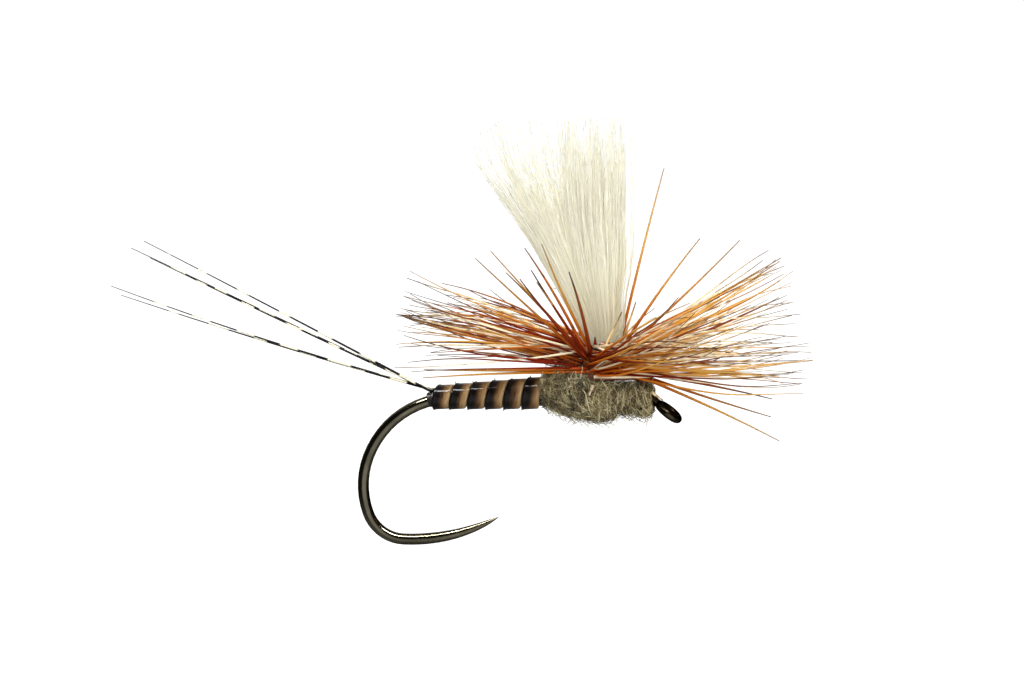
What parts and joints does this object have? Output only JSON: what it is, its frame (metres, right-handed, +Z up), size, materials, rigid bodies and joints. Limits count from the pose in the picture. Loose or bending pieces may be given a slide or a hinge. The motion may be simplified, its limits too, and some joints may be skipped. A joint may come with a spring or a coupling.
{
  "type": "dry fly",
  "caption": "Parachute dry fly: quill-bodied, dubbed thorax, upright pale yarn wing with a flat ginger hackle, barred tail, on a barbless down-eye hook.",
  "frame": {"origin": "centre of the hook eye", "axes": "+X forward along the shank, towards the eye; +Z up along the wing post; +Y to the fly's left side"},
  "size_m": [0.0274, 0.0149, 0.0171],
  "materials": {
    "black_nickel_wire": "polished",
    "tying_thread": "satin",
    "varnished_quill": "gloss",
    "wing_yarn": "matte",
    "brown_hackle": "satin",
    "grizzly_hackle": "satin",
    "dubbing": "matte",
    "barred_tail": "satin"
  },
  "bodies": {
    "root": {"hook": "black_nickel_wire", "thread_base": "tying_thread", "underbody_wraps": "tying_thread", "tail_tie_wraps": "tying_thread", "head_wraps": "tying_thread", "post_wraps": "tying_thread", "quill_body": "varnished_quill", "wing_hank": "wing_yarn", "wing_tuft_front": "wing_yarn", "wing_tuft_rear": "wing_yarn", "brown_hackle_stem": "brown_hackle", "grizzly_hackle_stem": "grizzly_hackle", "thorax_dubbing_rear": "dubbing", "thorax_dubbing_front": "dubbing", "tail_fibre_1": "barred_tail", "tail_fibre_2": "barred_tail", "tail_fibre_3": "barred_tail", "tail_fibre_4": "barred_tail", "tail_fibre_5": "barred_tail", "brown_barbs_turn_1": "brown_hackle", "grizzly_barbs_turn_1": "grizzly_hackle", "brown_barbs_turn_2": "brown_hackle", "grizzly_barbs_turn_2": "grizzly_hackle", "brown_barbs_turn_3": "brown_hackle", "grizzly_barbs_turn_3": "grizzly_hackle"}
  },
  "joints": []
}
